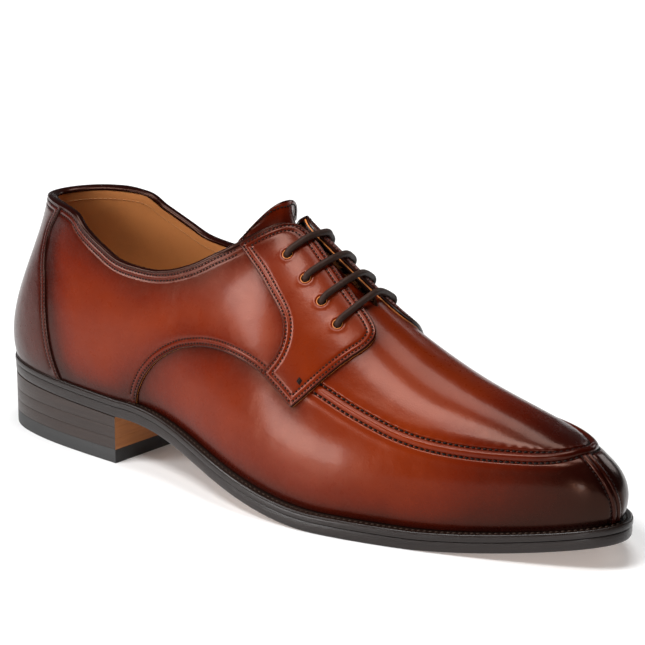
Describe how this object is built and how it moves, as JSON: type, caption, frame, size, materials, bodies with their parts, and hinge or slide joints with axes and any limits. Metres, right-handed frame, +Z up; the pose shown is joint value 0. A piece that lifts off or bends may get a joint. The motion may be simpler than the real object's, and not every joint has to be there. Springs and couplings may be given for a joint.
{
  "type": "apron toe derby",
  "caption": "Right apron toe derby dress shoe in burnished leather, with open lace flaps, a raised apron seam, a split toe seam, a welted leather sole and a stacked heel.",
  "frame": {"origin": "on the floor, under the middle of the heel's top lift", "axes": "+X towards the toe, -Y to the lateral side, +Z up"},
  "size_m": [0.3139, 0.0969, 0.1185],
  "materials": {
    "leather": "burnished smooth calf, semi-gloss, darker at toe, heel and edges",
    "sole_edge": "dark dyed and waxed edge, finely grooved",
    "heel_leather": "dark dyed stacked leather, satin",
    "rubber": "matte black",
    "insole_leather": "natural tan, matte",
    "lace": "waxed round cord, dark brown"
  },
  "bodies": {
    "root": {"outsole": "sole_edge", "welt": "sole_edge", "heel_lift_1": "heel_leather", "heel_lift_2": "heel_leather", "heel_lift_3": "heel_leather", "top_lift": "rubber", "insole": "insole_leather", "upper": "leather", "quarter_lateral": "leather", "quarter_medial": "leather", "facing_lateral": "leather", "facing_medial": "leather", "counter": "leather", "apron_seam": "leather", "toe_seam": "leather", "tongue": "leather", "lace_bar_1": "lace", "lace_bar_2": "lace", "lace_bar_3": "lace", "lace_bar_4": "lace"}
  },
  "joints": []
}
